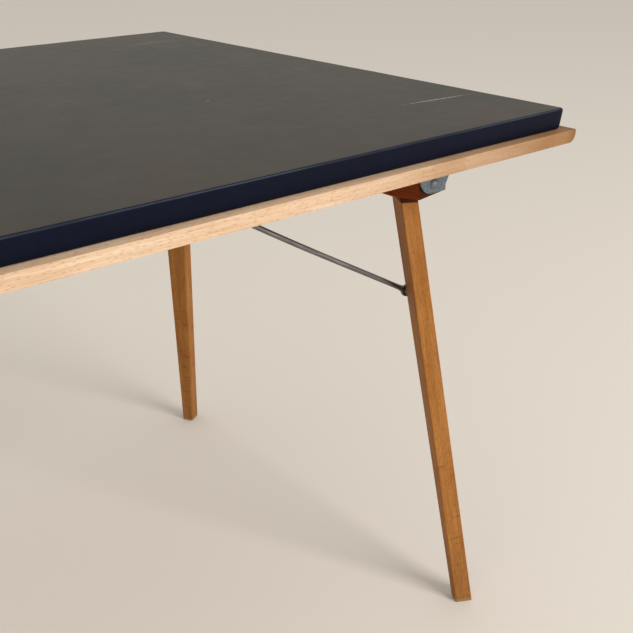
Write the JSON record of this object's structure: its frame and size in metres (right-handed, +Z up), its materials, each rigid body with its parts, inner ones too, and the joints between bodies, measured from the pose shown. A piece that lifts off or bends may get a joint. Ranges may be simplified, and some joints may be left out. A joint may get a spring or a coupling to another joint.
{
  "type": "folding table",
  "caption": "Folding table: leatherette-covered board on overhanging beech rails, splayed tapered legs on crossbars that fold flat under it, held by steel rod stays.",
  "frame": {"origin": "on the floor, under the middle of the board", "axes": "+X along the board and its rails, +Y towards the back edge, +Z up"},
  "size_m": [0.888, 0.816, 0.692],
  "materials": {
    "leatherette": "embossed leatherette, dull sheen, grey olive on top and blue black at the sides",
    "core_board": "raw blockboard",
    "lining": "dark woven lining cloth",
    "rail_beech": "light beech, thin satin varnish, fine flecks",
    "bearer_beech": "planed beech, unvarnished",
    "stained_beech": "beech stained red brown, satin varnish",
    "leg_beech": "beech stained mid brown, satin varnish, worn edges",
    "peg_beech": "end grain of a beech peg",
    "hinge_steel": "zinc-plated steel, dulled blue grey",
    "stay_steel": "drawn steel rod, dark oxide",
    "catch_steel": "zinc-plated steel",
    "screw_steel": "zinc-plated screws"
  },
  "bodies": {
    "table_top": {"tabletop_core": "core_board", "tabletop_cover": "leatherette", "underside_lining": "lining", "front_rail": "rail_beech", "back_rail": "rail_beech", "right_bearer": "bearer_beech", "left_bearer": "bearer_beech", "centre_bearer": "bearer_beech", "rail_screws": "screw_steel", "bearer_screws": "screw_steel", "hinge_plate_screws": "screw_steel", "catch_screws": "screw_steel", "catch_studs": "catch_steel", "front_right_hinge_plate": "hinge_steel", "front_right_catch": "catch_steel", "back_right_hinge_plate": "hinge_steel", "back_right_catch": "catch_steel", "front_left_hinge_plate": "hinge_steel", "front_left_catch": "catch_steel", "back_left_hinge_plate": "hinge_steel", "back_left_catch": "catch_steel"},
    "right_leg_frame": {"right_crossbar": "stained_beech", "front_right_leg": "leg_beech", "back_right_leg": "leg_beech", "right_leg_pegs": "peg_beech", "right_hinge_rivets": "hinge_steel", "right_hinge_washers": "hinge_steel", "right_stay_pins": "stay_steel"},
    "left_leg_frame": {"left_crossbar": "stained_beech", "front_left_leg": "leg_beech", "back_left_leg": "leg_beech", "left_leg_pegs": "peg_beech", "left_hinge_rivets": "hinge_steel", "left_hinge_washers": "hinge_steel", "left_stay_pins": "stay_steel"},
    "front_right_stay": {"front_right_stay": "stay_steel"},
    "back_right_stay": {"back_right_stay": "stay_steel"},
    "front_left_stay": {"front_left_stay": "stay_steel"},
    "back_left_stay": {"back_left_stay": "stay_steel"}
  },
  "joints": [
    {"name": "right_leg_fold", "type": "hinge", "parent": "table_top", "child": "right_leg_frame", "pos_m": [0.3366, 0, 0.602], "axis": [0, 1, 0], "range_deg": [0, 100]},
    {"name": "left_leg_fold", "type": "hinge", "parent": "table_top", "child": "left_leg_frame", "pos_m": [-0.3366, 0, 0.602], "axis": [0, -1, 0], "range_deg": [0, 92.5]},
    {"name": "front_right_stay_swing", "type": "hinge", "parent": "right_leg_frame", "child": "front_right_stay", "pos_m": [0.35485, -0.2448, 0.44873], "axis": [-0.126, -0.9834, 0.1308], "range_deg": [0, 124.6]},
    {"name": "back_right_stay_swing", "type": "hinge", "parent": "right_leg_frame", "child": "back_right_stay", "pos_m": [0.35485, 0.2448, 0.44873], "axis": [0.126, -0.9834, -0.1308], "range_deg": [0, 124.6]},
    {"name": "front_left_stay_swing", "type": "hinge", "parent": "left_leg_frame", "child": "front_left_stay", "pos_m": [-0.35584, -0.24493, 0.44885], "axis": [-0.1654, 0.9781, -0.126], "range_deg": [0, 124.5]},
    {"name": "back_left_stay_swing", "type": "hinge", "parent": "left_leg_frame", "child": "back_left_stay", "pos_m": [-0.35584, 0.24493, 0.44885], "axis": [0.1654, 0.9781, 0.126], "range_deg": [0, 124.5]}
  ],
  "couplings": [
    {"joint": "front_right_stay_swing", "follows": "right_leg_fold", "ratio": 1.245},
    {"joint": "back_right_stay_swing", "follows": "right_leg_fold", "ratio": 1.245},
    {"joint": "front_left_stay_swing", "follows": "left_leg_fold", "ratio": 1.3449},
    {"joint": "back_left_stay_swing", "follows": "left_leg_fold", "ratio": 1.3449}
  ]
}
